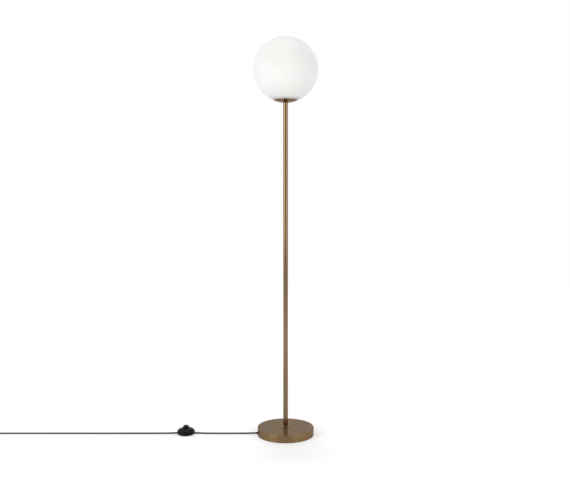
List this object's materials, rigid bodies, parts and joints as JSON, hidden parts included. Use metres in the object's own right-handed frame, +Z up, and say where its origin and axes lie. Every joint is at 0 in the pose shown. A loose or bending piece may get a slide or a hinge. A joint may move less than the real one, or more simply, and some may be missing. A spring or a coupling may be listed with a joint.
{
  "type": "globe floor lamp",
  "caption": "Floor lamp with a round weighted base, a slender brass-finished pole and an opal glass globe in a shallow dish, with a round foot switch on its lead",
  "frame": {"origin": "middle of the base's underside, on the floor, on the pole's axis", "axes": "+Z up along the pole, the lead leaves the base along -X, +Y to the back as in the picture"},
  "size_m": [1.386, 0.25, 1.5224],
  "materials": {
    "aged_brass": "satin brown brass finish, finely brushed",
    "cast_iron": "bare casting",
    "plated_steel": "zinc plated",
    "opal_glass": "glossy opal glass",
    "switch_plastic": "black, fine moulded grain",
    "cord_sheath": "dark grey flexible sheath",
    "plug_plastic": "black soft moulding",
    "floor_pad": "soft pad",
    "clear_silicone": "soft clear ring",
    "holder_plastic": "black moulding",
    "holder_core": "unglazed",
    "bulb_plastic": "white moulding",
    "bulb_diffuser": "frosted white",
    "contact_brass": "bare brass",
    "bulb_metal": "nickel plated",
    "rotor_plastic": "natural moulding",
    "wire_sheath": "brown wire sheath",
    "tie_strap": "woven strap"
  },
  "bodies": {
    "lamp": {"base_cover": "aged_brass", "base_weight": "cast_iron", "floor_pads": "floor_pad", "cord_bushing": "plug_plastic", "cord_clamp": "plated_steel", "clamp_screws": "plated_steel", "foot_collar": "aged_brass", "inner_lead": "cord_sheath", "foot_nipple": "plated_steel", "foot_nut": "plated_steel", "foot_washer": "plated_steel", "pole_lower": "aged_brass", "pole_middle": "aged_brass", "pole_upper": "aged_brass", "tube_inserts": "plated_steel", "joint_nipples": "plated_steel", "neck_nipple": "plated_steel", "holder_dish": "aged_brass", "globe_gasket": "clear_silicone", "globe_clips": "plated_steel", "dish_nut": "plated_steel", "holder_cap": "holder_plastic", "holder_core": "holder_core", "holder_terminals": "contact_brass", "holder_sleeve": "holder_plastic", "holder_screw_shell": "contact_brass", "holder_contact": "contact_brass", "bulb_housing": "bulb_plastic", "bulb_dome": "bulb_diffuser", "bulb_cap": "bulb_metal", "bulb_contact": "bulb_metal", "switch_base": "switch_plastic", "switch_cover": "switch_plastic", "rotor_screw": "plated_steel", "button_spring": "plated_steel", "switch_contacts": "contact_brass", "switch_terminals": "contact_brass", "switch_wires": "wire_sheath", "cord_grips": "switch_plastic", "grip_screws": "plated_steel", "cover_screws": "plated_steel", "switch_pads": "floor_pad", "cord_base_to_switch": "cord_sheath", "cord_switch_to_coil": "cord_sheath", "cord_coil": "cord_sheath", "coil_tie": "tie_strap", "plug_body": "plug_plastic", "plug_pins": "bulb_metal", "pin_sleeves": "plug_plastic"},
    "globe_glass": {"globe": "opal_glass"},
    "button": {"switch_button": "switch_plastic"},
    "rotor": {"switch_rotor": "rotor_plastic", "rotor_bridge": "contact_brass"}
  },
  "joints": [
    {"name": "globe_lift", "type": "slide", "parent": "lamp", "child": "globe_glass", "axis": [0, 0, 1], "range_m": [0, 0.15], "deforming": ["globe_clips"]},
    {"name": "button_press", "type": "slide", "parent": "lamp", "child": "button", "axis": [0, 0, -1], "range_m": [0, 0.003], "stiffness_N_per_m": 600, "springref_m": -0.003, "deforming": ["button_spring"]},
    {"name": "rotor_turn", "type": "hinge", "parent": "lamp", "child": "rotor", "pos_m": [-0.3816, 0, 0.005], "axis": [0, 0, 1], "range_deg": [0, 34]}
  ],
  "couplings": [
    {"joint": "rotor_turn", "follows": "button_press", "rad_per_m": 196.35}
  ]
}
